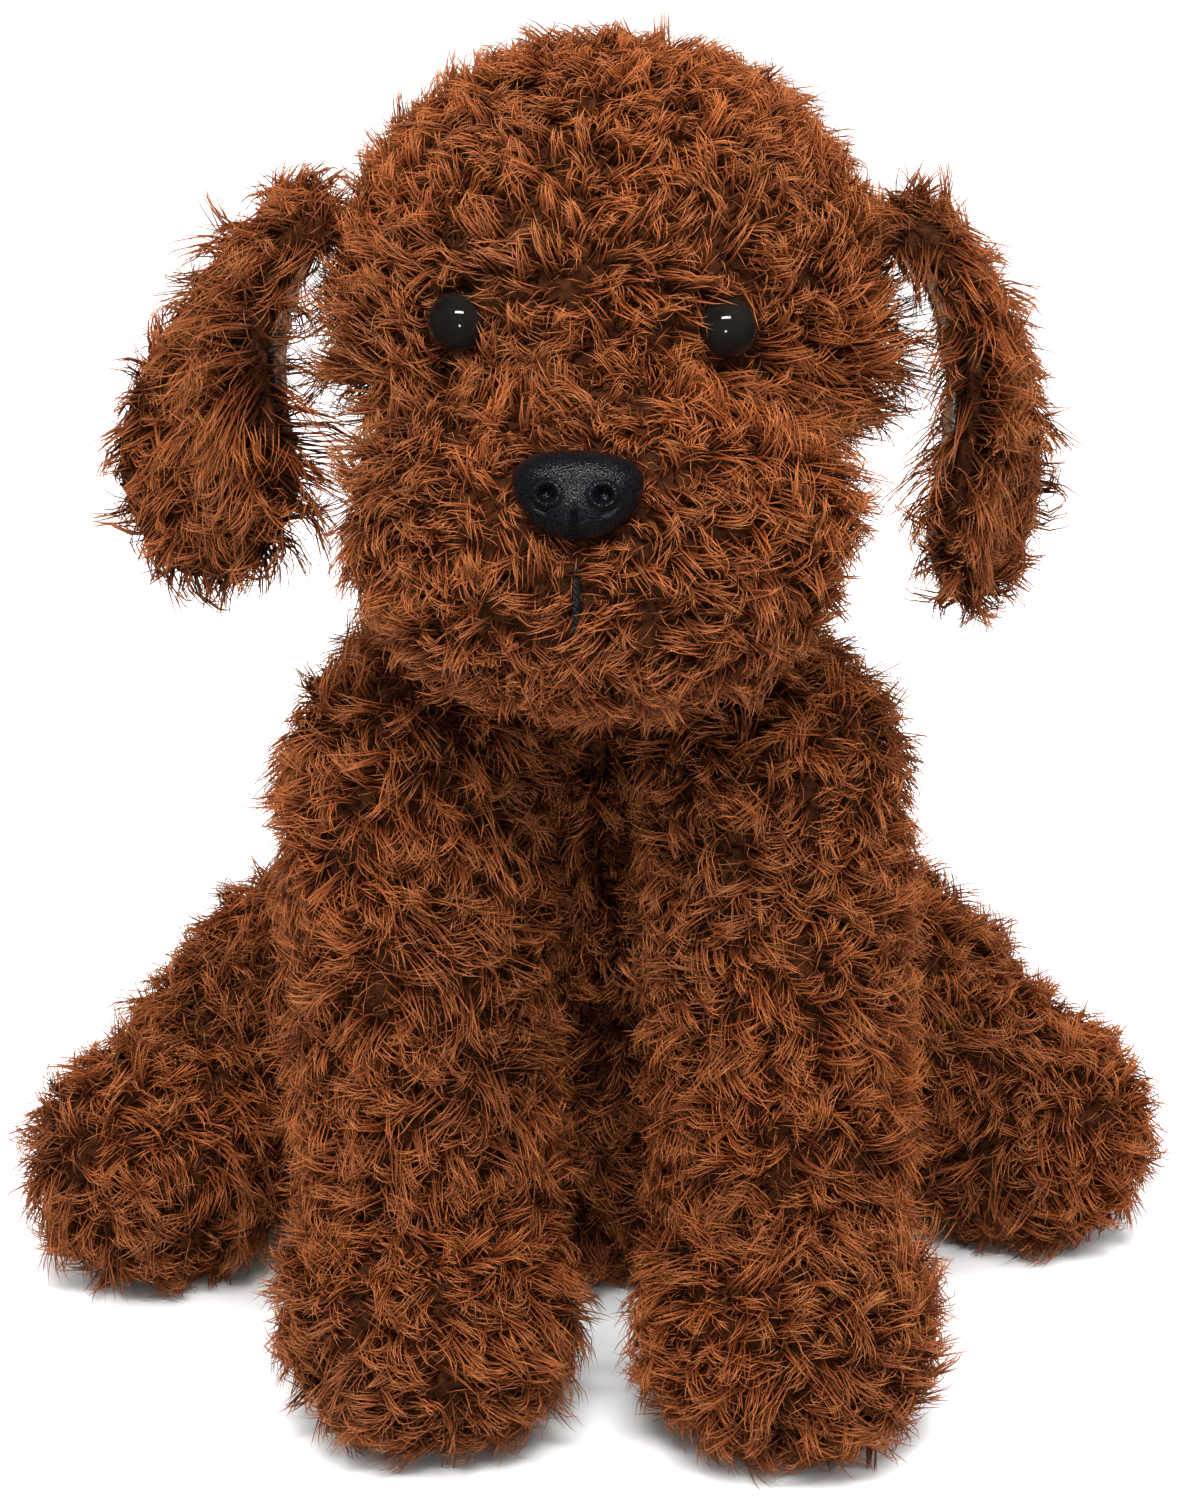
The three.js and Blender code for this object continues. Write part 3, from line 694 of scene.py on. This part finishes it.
def fibres_for(rng, places, normals, flow, length, coat):
    """Every lock's fibres, as points along each one, with the shades of the lock and of the fibre.

    Locks that are longer than usual stand up straighter. Some fibres are loose: they lie any way,
    under the locks.
    """
    locks = len(places)
    lock = np.repeat(np.arange(locks), coat["fibres"])
    count = len(lock)
    loose = rng.random(count) < 0.26
    stand = np.maximum(length / (coat["length"] * MM), 1)
    lock_lean = np.radians((coat["lean"] + rng.normal(0, 9, locks)) / stand)
    lock_curl = np.radians((coat["curl"] + rng.normal(0, 18, locks)) / stand)
    lock_twist = np.radians(rng.normal(0, 70, locks))
    lock_turn = np.radians(rng.normal(0, 36, locks))
    lock_length = length * rng.uniform(0.72, 1.22, locks)

    wander = np.where(loose, 2.6, 1.0)
    lean = (lock_lean[lock] + np.radians(rng.normal(0, 6, count)) * wander)[:, None]
    curl = (lock_curl[lock] + np.radians(rng.normal(0, 8, count)) * wander)[:, None]
    twist = (lock_twist[lock] + np.radians(rng.normal(0, 14, count)) * wander)[:, None]
    fibre_length = (lock_length[lock] * rng.uniform(0.78, 1.08, count) * np.where(loose, 0.74, 1.0))[:, None]

    normal = normals[lock]
    turn = (lock_turn[lock] + np.where(loose, rng.uniform(-math.pi, math.pi, count), 0))[:, None]
    brushed = np.cos(turn) * flow[lock] + np.sin(turn) * np.cross(normal, flow[lock])
    side = np.cross(normal, brushed)
    angle = rng.uniform(0, 2 * math.pi, count)[:, None]
    reach = (coat["spread"] * MM * np.sqrt(rng.random(count)))[:, None]
    offset = reach * (np.cos(angle) * brushed + np.sin(angle) * side)
    path = grown(places[lock] - 0.6 * MM * normal, normal, brushed, fibre_length, lean, curl, twist)
    gather = np.where(loose, 0.05, rng.uniform(0.45, 0.88, count))[:, None]
    for ring, share in enumerate((*RINGS, 1.0)):
        path[ring] += offset * (1 - gather * share**0.8)
    lock_shade = np.clip(rng.normal(0.5, 0.2, locks), 0, 1)[lock]
    fibre_shade = rng.random(count)
    return path, lock_shade, fibre_shade, loose


def kept_clear(path):
    """Which fibres stay out of the eyes and the nose."""
    clear = np.ones(path.shape[1], dtype=bool)
    for fitting, share in ((eyes[0], 0.74), (eyes[1], 0.74), (nose, 0.0)):
        for ring in path:
            right, up, out = fitting.local(ring)
            if share:
                inside = right**2 + up**2 < (share * fitting.radius) ** 2
            else:
                inside = nose_inside(right, up, 0.93)
            clear &= ~(inside & (out > -9 * MM))
    return clear


def fibre_mesh(name, path, along, lock_shade, fibre_shade, radius):
    """Thin tapering tubes along the fibres, with their shades as attributes and a map cell each."""
    rings = len(RINGS)
    count = path.shape[1]
    heading = unit(path[1:] - path[:-1])
    reference = np.where(np.abs(heading[0][:, 2:3]) > 0.8, (1.0, 0, 0), (0, 0, 1.0))
    columns = []
    for ring in range(rings):
        first = unit(np.cross(heading[ring], reference))
        second = np.cross(heading[ring], first)
        width = (radius * (1 - along[ring]) ** 0.55)[:, None]
        for corner in range(STRAND_SIDES):
            angle = 2 * math.pi * corner / STRAND_SIDES
            columns.append(path[ring] + width * (math.cos(angle) * first + math.sin(angle) * second))
    columns.append(path[-1])
    points = np.stack(columns, axis=1)
    points[:, :, 2] = np.maximum(points[:, :, 2], FLOOR_CLEARANCE)
    per_fibre = points.shape[1]

    pattern = []
    for ring in range(rings - 1):
        for corner in range(STRAND_SIDES):
            here = ring * STRAND_SIDES + corner
            after = ring * STRAND_SIDES + (corner + 1) % STRAND_SIDES
            across = after + STRAND_SIDES
            pattern += [(here, after, across), (here, across, here + STRAND_SIDES)]
    last = (rings - 1) * STRAND_SIDES
    for corner in range(STRAND_SIDES):
        pattern.append((last + corner, last + (corner + 1) % STRAND_SIDES, per_fibre - 1))
    pattern.append((2, 1, 0))
    faces = np.array(pattern)[None] + (np.arange(count) * per_fibre)[:, None, None]
    piece = new_piece(name, points.reshape(-1, 3), faces.reshape(-1, 3))

    marks = np.array([*np.repeat(along, STRAND_SIDES), 1.0])
    spread_over(piece.data, "along", np.tile(marks, count))
    spread_over(piece.data, "lock_shade", np.repeat(lock_shade, per_fibre))
    spread_over(piece.data, "fibre_shade", np.repeat(fibre_shade, per_fibre))
    corners = np.array([*np.tile(np.arange(STRAND_SIDES), rings), 1]) / (STRAND_SIDES - 1)
    map_cells(piece.data, count, corners, marks)
    return piece


def spread_over(mesh, name, values):
    attribute = mesh.attributes.new(name, "FLOAT", "POINT")
    attribute.data.foreach_set("value", np.ascontiguousarray(values, dtype=np.float32))


def map_cells(mesh, count, across, along):
    """Gives every fibre its own cell of a UV map, wide enough not to bleed."""
    columns = math.ceil(math.sqrt(count))
    cell = np.arange(count)
    u = (cell % columns)[:, None] + 0.2 + 0.6 * across[None]
    v = (cell // columns)[:, None] + 0.1 + 0.8 * along[None]
    at_points = np.stack([u, v], axis=2).reshape(-1, 2) / columns
    corner_point = np.empty(len(mesh.loops), dtype=np.int32)
    mesh.loops.foreach_get("vertex_index", corner_point)
    layer = mesh.uv_layers.new(name="OFBake")
    layer.uv.foreach_set("vector", np.ascontiguousarray(at_points[corner_point], dtype=np.float32).ravel())


def add_coat(name, body):
    """Grows the pile of one fabric and cuts it into pieces from the bottom up."""
    rng = np.random.default_rng(SEED + list(fabrics).index(name))
    coat = coat_of(name)
    places, normals = scattered(rng, *fabrics[name], coat["spacing"] * MM)
    flow = flow_of(name, places, normals)
    room = room_round(name, places, normals, flow)
    if name == "head":
        room *= face_room(places)
    if name == "head" or name in EARS:
        room *= cheek_room(places)
    order = np.argsort(places[:, 2], kind="stable")
    order = order[room[order] > 0]
    places, normals, flow, room = places[order], normals[order], flow[order], room[order]
    length = coat["length"] * MM * room
    path, lock_shade, fibre_shade, loose = fibres_for(rng, places, normals, flow, length, coat)
    radius = np.where(loose, 0.7, 1.0) * coat["radius"] * MM * rng.uniform(0.8, 1.2, path.shape[1])
    kept = np.flatnonzero(kept_clear(path)) if name == "head" else np.arange(path.shape[1])
    pieces = math.ceil(len(kept) / FIBRES_PER_PIECE)
    for number, chosen in enumerate(np.array_split(kept, pieces), 1):
        piece = fibre_mesh(
            f"{name}_pile_{number}", path[:, chosen], np.array(RINGS),
            lock_shade[chosen], fibre_shade[chosen], radius[chosen],
        )
        finish_piece(piece, body, coat["slot"], coat["material"])


EAR_ROOT_OUT = 56 * MM
CHEEK_DROP = 38 * MM               # how far under the top of the ear the hair is longest
CHEEK_REACH = 22 * MM
CHEEK_SHAPE = (1.0, 0.35, 1.0)     # the long hair reaches further from front to back
CHEEK_FLUFF = 1.5


def face_room(places):
    """No locks grow under the eyes or the nose, and they are shorter round them."""
    room = np.ones(len(places))
    for eye in eyes:
        right, up, out = eye.local(places)
        away = np.hypot(right, up)
        near = out > -20 * MM
        room[near & (away < eye.radius + 0.3 * MM)] = 0
        edge = near & (away < 1.6 * eye.radius)
        room[edge] *= 0.8
    right, up, out = nose.local(places)
    near = out > -20 * MM
    room[near & nose_inside(right, up, 0.96)] = 0
    room[near & nose_inside(right, up, 1.3)] *= 0.75
    return room


def cheek_room(places):
    """The locks between the ears and the head are longer, so that they close the gap below the ear roots."""
    room = np.ones(len(places))
    for ear in EARS:
        low, high = (np.array(corner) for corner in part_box(ear + "_outer"))
        root = np.array([np.sign(low[0]) * EAR_ROOT_OUT, (low[1] + high[1]) / 2, high[2] - CHEEK_DROP])
        away = np.linalg.norm((places - root) * CHEEK_SHAPE, axis=1)
        room *= 1 + CHEEK_FLUFF * np.exp(-((away / CHEEK_REACH) ** 2))
    return room


# ---------------------------------------------------------------- eyes, nose and mouth


def closed_surface(start, rings, end):
    """Points and triangles of a closed surface through rings of points, with a point at each end."""
    count, segments = rings.shape[:2]
    points = np.concatenate([[start], rings.reshape(-1, 3), [end]])
    here = np.arange(segments)
    after = (here + 1) % segments
    triangles = [np.stack([np.zeros(segments, int), 1 + here, 1 + after], axis=1)]
    for ring in range(count - 1):
        low, high = 1 + ring * segments, 1 + (ring + 1) * segments
        triangles.append(np.stack([low + here, high + here, high + after], axis=1))
        triangles.append(np.stack([low + here, high + after, low + after], axis=1))
    last = 1 + (count - 1) * segments
    triangles.append(np.stack([last + here, np.full(segments, len(points) - 1), last + after], axis=1))
    return points, np.concatenate(triangles)


def facing_out(points, triangles):
    """The triangles, turned over if the closed surface's faces point inwards."""
    corners = points[triangles] - points.mean(axis=0)
    volume = (np.cross(corners[:, 0], corners[:, 1]) * corners[:, 2]).sum()
    return triangles if volume > 0 else triangles[:, ::-1]


def closed_piece(name, points, triangles):
    return new_piece(name, points, facing_out(points, triangles))


def circle(segments):
    angle = np.linspace(0, 2 * math.pi, segments, endpoint=False)
    return np.cos(angle), np.sin(angle)


EYE_DOME = 5.2 * MM
EYE_COLLAR = 0.7 * MM
STEM_RADIUS = 1.6 * MM
STEM_LENGTH = 8.6 * MM
EYE_SEGMENTS = 72


def add_eye(side, eye):
    """A polished dome with a thin collar and the stem that its washer grips."""
    dome = [
        (eye.radius * math.sin(share), EYE_DOME * (math.cos(share) - 1))
        for share in np.linspace(0.06, math.pi / 2, 28)
    ]
    base = -EYE_DOME - EYE_COLLAR
    profile = dome + [
        (eye.radius, base + 0.25 * EYE_COLLAR),
        (eye.radius - 0.3 * EYE_COLLAR, base),
        (STEM_RADIUS * 1.2, base),
        (STEM_RADIUS, base - 0.3 * EYE_COLLAR),
        (STEM_RADIUS, base - STEM_LENGTH),
    ]
    across, up = circle(EYE_SEGMENTS)
    rings = np.stack([
        eye.world(radius * across, radius * up, np.full(EYE_SEGMENTS, out))
        for radius, out in profile
    ])
    points, triangles = closed_surface(eye.tip, rings, eye.world([0], [0], [base - STEM_LENGTH])[0])
    piece = closed_piece(f"eye_{side}_dome", points, triangles)
    finish_piece(piece, "head", "eye_gloss", None, [f"eye_{side}"])


NOSE_POWER = 2.3
NOSE_NARROWING = 0.24
NOSE_DEPTH = 7.0 * MM
NOSE_BACK = 112                    # degrees from the front to the edge that is sunk in the fabric
nose_across, nose_up, _ = nose.local(node_points("nose"))
NOSE_HALF_WIDTH = np.abs(nose_across).max() / 1.03
NOSE_HALF_HEIGHT = (nose_up.max() - nose_up.min()) / 2


def nose_inside(across, up, scale):
    """Whether points lie inside the nose's rounded triangle, drawn larger or smaller by the scale."""
    height = up / (NOSE_HALF_HEIGHT * scale)
    width = NOSE_HALF_WIDTH * scale * (1 + NOSE_NARROWING * np.clip(height, -1, 1))
    return np.abs(across / width) ** NOSE_POWER + np.abs(height) ** NOSE_POWER < 1


def nose_relief(across, up):
    """How far the nose's front is raised or sunk: nostrils with a rim and a tail, and the groove below."""
    x, z = across / MM, up / MM
    relief = np.zeros(len(x))
    for side in (1, -1):
        away = np.hypot(x - side * 5.3, (z + 0.3) * 1.1)
        relief -= 2.4 * np.exp(-((away / 1.45) ** 4))
        relief += 0.6 * np.exp(-(((away - 2.4) / 0.65) ** 2))
        for step in range(7):
            tail = math.radians(-20 - 11 * step)
            centre = (side * (4.7 + 3.3 * math.cos(tail)), -0.3 + 3.4 * math.sin(tail))
            relief -= 0.32 * np.exp(-(((x - centre[0]) ** 2 + (z - centre[1]) ** 2) / 0.45))
    below = 1 / (1 + np.exp((z + 3.4) * 3))
    relief -= 1.1 * np.exp(-((x / 0.42) ** 2)) * below
    return relief * MM


def add_nose():
    """A moulded nose: a domed triangle, wide at the top, with nostrils and a centre groove."""
    segments = 168
    across, up = circle(segments)
    rings = []
    for polar in np.radians(np.linspace(1.2, NOSE_BACK, 96)):
        sideways = math.sin(polar)
        direction = np.stack([across * sideways, up * sideways, np.full(segments, math.cos(polar))])
        direction *= (np.abs(direction) ** NOSE_POWER).sum(axis=0) ** (-1 / NOSE_POWER)
        wide = NOSE_HALF_WIDTH * direction[0] * (1 + NOSE_NARROWING * direction[1])
        high = NOSE_HALF_HEIGHT * direction[1]
        relief = nose_relief(wide, high) if polar < math.pi / 2 else 0
        rings.append(nose.world(wide, high, NOSE_DEPTH * (direction[2] - 1) + relief))
    rings = np.stack(rings)
    points, triangles = closed_surface(rings[0].mean(axis=0), rings, rings[-1].mean(axis=0))
    finish_piece(closed_piece("nose_moulding", points, triangles), "head", "nose_satin", None, ["nose"])


def centreline(node, steps):
    """The middle of an upright CAD thread at a few heights, from the top down."""
    points = node_points(node)
    heights = np.linspace(points[:, 2].max(), points[:, 2].min(), steps)
    reach = 0.8 * (heights[0] - heights[-1]) / (steps - 1)
    middles = []
    for height in heights:
        near = np.abs(points[:, 2] - height) < reach
        middles.append([*points[near, :2].mean(axis=0), height])
    return np.array(middles)


def tube_arrays(path, radius, segments):
    """A round closed tube along a path."""
    heading = unit(np.gradient(path, axis=0))
    first = unit(np.cross(heading, (1.0, 0.2, 0.1)))
    second = np.cross(heading, first)
    across, up = circle(segments)
    rings = np.stack([
        point + radius * (np.outer(across, one) + np.outer(up, two))
        for point, one, two in zip(path, first, second)
    ])
    return closed_surface(path[0] - radius * heading[0], rings, path[-1] + radius * heading[-1])


MOUTH_LIFT = -4.2 * MM
PLIES = 3
PLY_RADIUS = 0.42 * MM
mouth_line = centreline("mouth_stitch", 7) + nose.out * MOUTH_LIFT


def add_mouth():
    """The mouth is one stitch of thick three-ply thread down from the nose."""
    count = 60
    share = np.linspace(0, len(mouth_line) - 1, count)
    marks = range(len(mouth_line))
    middle = np.stack([np.interp(share, marks, mouth_line[:, axis]) for axis in range(3)], axis=1)
    parts = []
    for ply in range(PLIES):
        turn = share * 3.6 + ply * 2 * math.pi / PLIES
        path = middle + PLY_RADIUS * (np.outer(np.cos(turn), nose.right) + np.outer(np.sin(turn), nose.out))
        points, triangles = tube_arrays(path, PLY_RADIUS * 1.1, 10)
        parts.append((points, facing_out(points, triangles)))
    starts = np.cumsum([0] + [len(points) for points, _ in parts])
    points = np.concatenate([points for points, _ in parts])
    triangles = np.concatenate([triangles + start for (_, triangles), start in zip(parts, starts)])
    finish_piece(new_piece("mouth_line", points, triangles), "head", "mouth_thread", None, ["mouth_stitch"])


# ---------------------------------------------------------------- ear lining and label


def add_lining(side):
    ear = f"ear_{side}"
    points, triangles = fabrics[ear + "_lining"]
    piece = new_piece(ear + "_lining_cloth", points, triangles)
    finish_piece(piece, ear, "ear_lining", None, [ear + "_lining"])


LABEL_LAYER = 0.28 * MM
LABEL_FOLD = 0.42 * MM


def add_label():
    """A strip of satin tape, folded double, that hangs from the rump seam with its fold down."""
    corners = node_points("care_label")
    centre = corners.mean(axis=0)
    axes = np.linalg.svd(corners - centre)[2]
    down, across, out = -axes[0] * np.sign(axes[0][2]), axes[1], axes[2]
    half_height = np.abs((corners - centre) @ down).max()
    half_width = np.abs((corners - centre) @ across).max()
    bend = np.linspace(0, math.pi, 9)[1:-1]
    straight = np.linspace(-half_height, half_height - LABEL_FOLD, 26)
    line = [(height, LABEL_FOLD) for height in straight]
    line += [(half_height - LABEL_FOLD + LABEL_FOLD * math.sin(a), LABEL_FOLD * math.cos(a)) for a in bend]
    line += [(height, -LABEL_FOLD) for height in straight[::-1]]
    line = np.array(line)
    side = np.gradient(line, axis=0)
    side = np.stack([-side[:, 1], side[:, 0]], axis=1) / np.linalg.norm(side, axis=1, keepdims=True)
    width = np.linspace(-half_width, half_width, 14)
    rings = []
    for point, thick in zip(line, side):
        loop = [(w, 0.5) for w in width] + [(w, -0.5) for w in width[::-1]]
        ring = []
        for w, layer in loop:
            along, outward = point + thick * layer * LABEL_LAYER
            hang = (along + half_height) / (2 * half_height)
            wave = 0.9 * MM * hang**2 * math.sin(2.2 * w / half_width + 1.5 * hang)
            ring.append(centre + down * along + across * w + out * (outward + wave))
        rings.append(ring)
    rings = np.array(rings)
    points, triangles = closed_surface(rings[0].mean(axis=0), rings, rings[-1].mean(axis=0))
    piece = closed_piece("care_label_tape", points, triangles)
    finish_piece(piece, "torso", "label_satin", None, ["care_label"])


# ---------------------------------------------------------------- light, floor and camera


FLOOR_HALF = 4                     # metres from the middle of the floor to its edge
WORLD_STRENGTH = 0.30
OVERHEAD_STRENGTH = 2.9
OVERHEAD_SOFTNESS = 60             # degrees across
OVERHEAD_TILT = 14                 # degrees, towards the dog's front


def add_light(name, place, size, power, mirrored=False):
    """An area light that faces the dog; only the two mirrored ones show as highlights in glossy things."""
    light = bpy.data.lights.new(name, "AREA")
    light.shape = "RECTANGLE"
    light.size, light.size_y = size
    light.energy = power
    lamp = bpy.data.objects.new(name, light)
    bpy.context.scene.collection.objects.link(lamp)
    lamp.location = place
    lamp.rotation_euler = (TARGET - Vector(place)).to_track_quat("-Z", "Y").to_euler()
    lamp.visible_glossy = mirrored


def add_sun():
    """A broad even light from above, so that the floor is as bright far away as near the dog."""
    light = bpy.data.lights.new("overhead", "SUN")
    light.energy = OVERHEAD_STRENGTH
    light.angle = math.radians(OVERHEAD_SOFTNESS)
    lamp = bpy.data.objects.new("overhead", light)
    bpy.context.scene.collection.objects.link(lamp)
    lamp.rotation_euler = (math.radians(OVERHEAD_TILT), 0, 0)
    lamp.visible_glossy = False


def add_studio():
    world = bpy.data.worlds.new("studio")
    world.use_nodes = True
    background = world.node_tree.nodes["Background"]
    background.inputs["Color"].default_value = (1, 1, 1, 1)
    background.inputs["Strength"].default_value = WORLD_STRENGTH
    bpy.context.scene.world = world
    world.cycles_visibility.glossy = False
    bpy.context.scene.view_settings.view_transform = "Standard"
    add_light("top_strip", (0, -0.80, 1.05), (0.60, 0.16), 20, mirrored=True)
    add_light("front_square", (0, -1.15, 0.22), (0.13, 0.13), 2.4, mirrored=True)
    add_light("side_left", (-1.0, -0.20, 0.85), (0.6, 0.6), 7)
    add_light("side_right", (1.0, -0.05, 0.70), (0.6, 0.6), 5.5)
    add_light("behind", (0.1, 0.90, 1.10), (1.0, 0.5), 12)
    add_sun()
    corners = [(x * FLOOR_HALF, y * FLOOR_HALF, 0) for x, y in ((-1, -1), (1, -1), (1, 1), (-1, 1))]
    floor = new_piece("floor", corners, [(0, 1, 2, 3)], smooth=False)
    floor.data.materials.append(floor_material())
    floor.visible_glossy = False


def add_camera():
    camera = bpy.data.cameras.new("camera")
    camera.lens = PIXELS_PER_METRE * CAMERA_DISTANCE / max(PHOTO) * camera.sensor_width
    holder = bpy.data.objects.new("camera", camera)
    bpy.context.scene.collection.objects.link(holder)
    back = Vector((0, -math.cos(CAMERA_ELEVATION), math.sin(CAMERA_ELEVATION)))
    holder.location = TARGET + back * CAMERA_DISTANCE
    holder.rotation_euler = (-back).to_track_quat("-Z", "Y").to_euler()
    bpy.context.scene.camera = holder


# ---------------------------------------------------------------- the dog

add_camera()
add_studio()
dress_cad_nodes()
for body in BODIES:
    add_backing(body)
    add_coat(body, body)
for side, eye in zip(SIDES, eyes):
    add_eye(side, eye)
    add_lining(side)
    add_coat(f"ear_{side}_lining", f"ear_{side}")
add_nose()
add_mouth()
add_label()
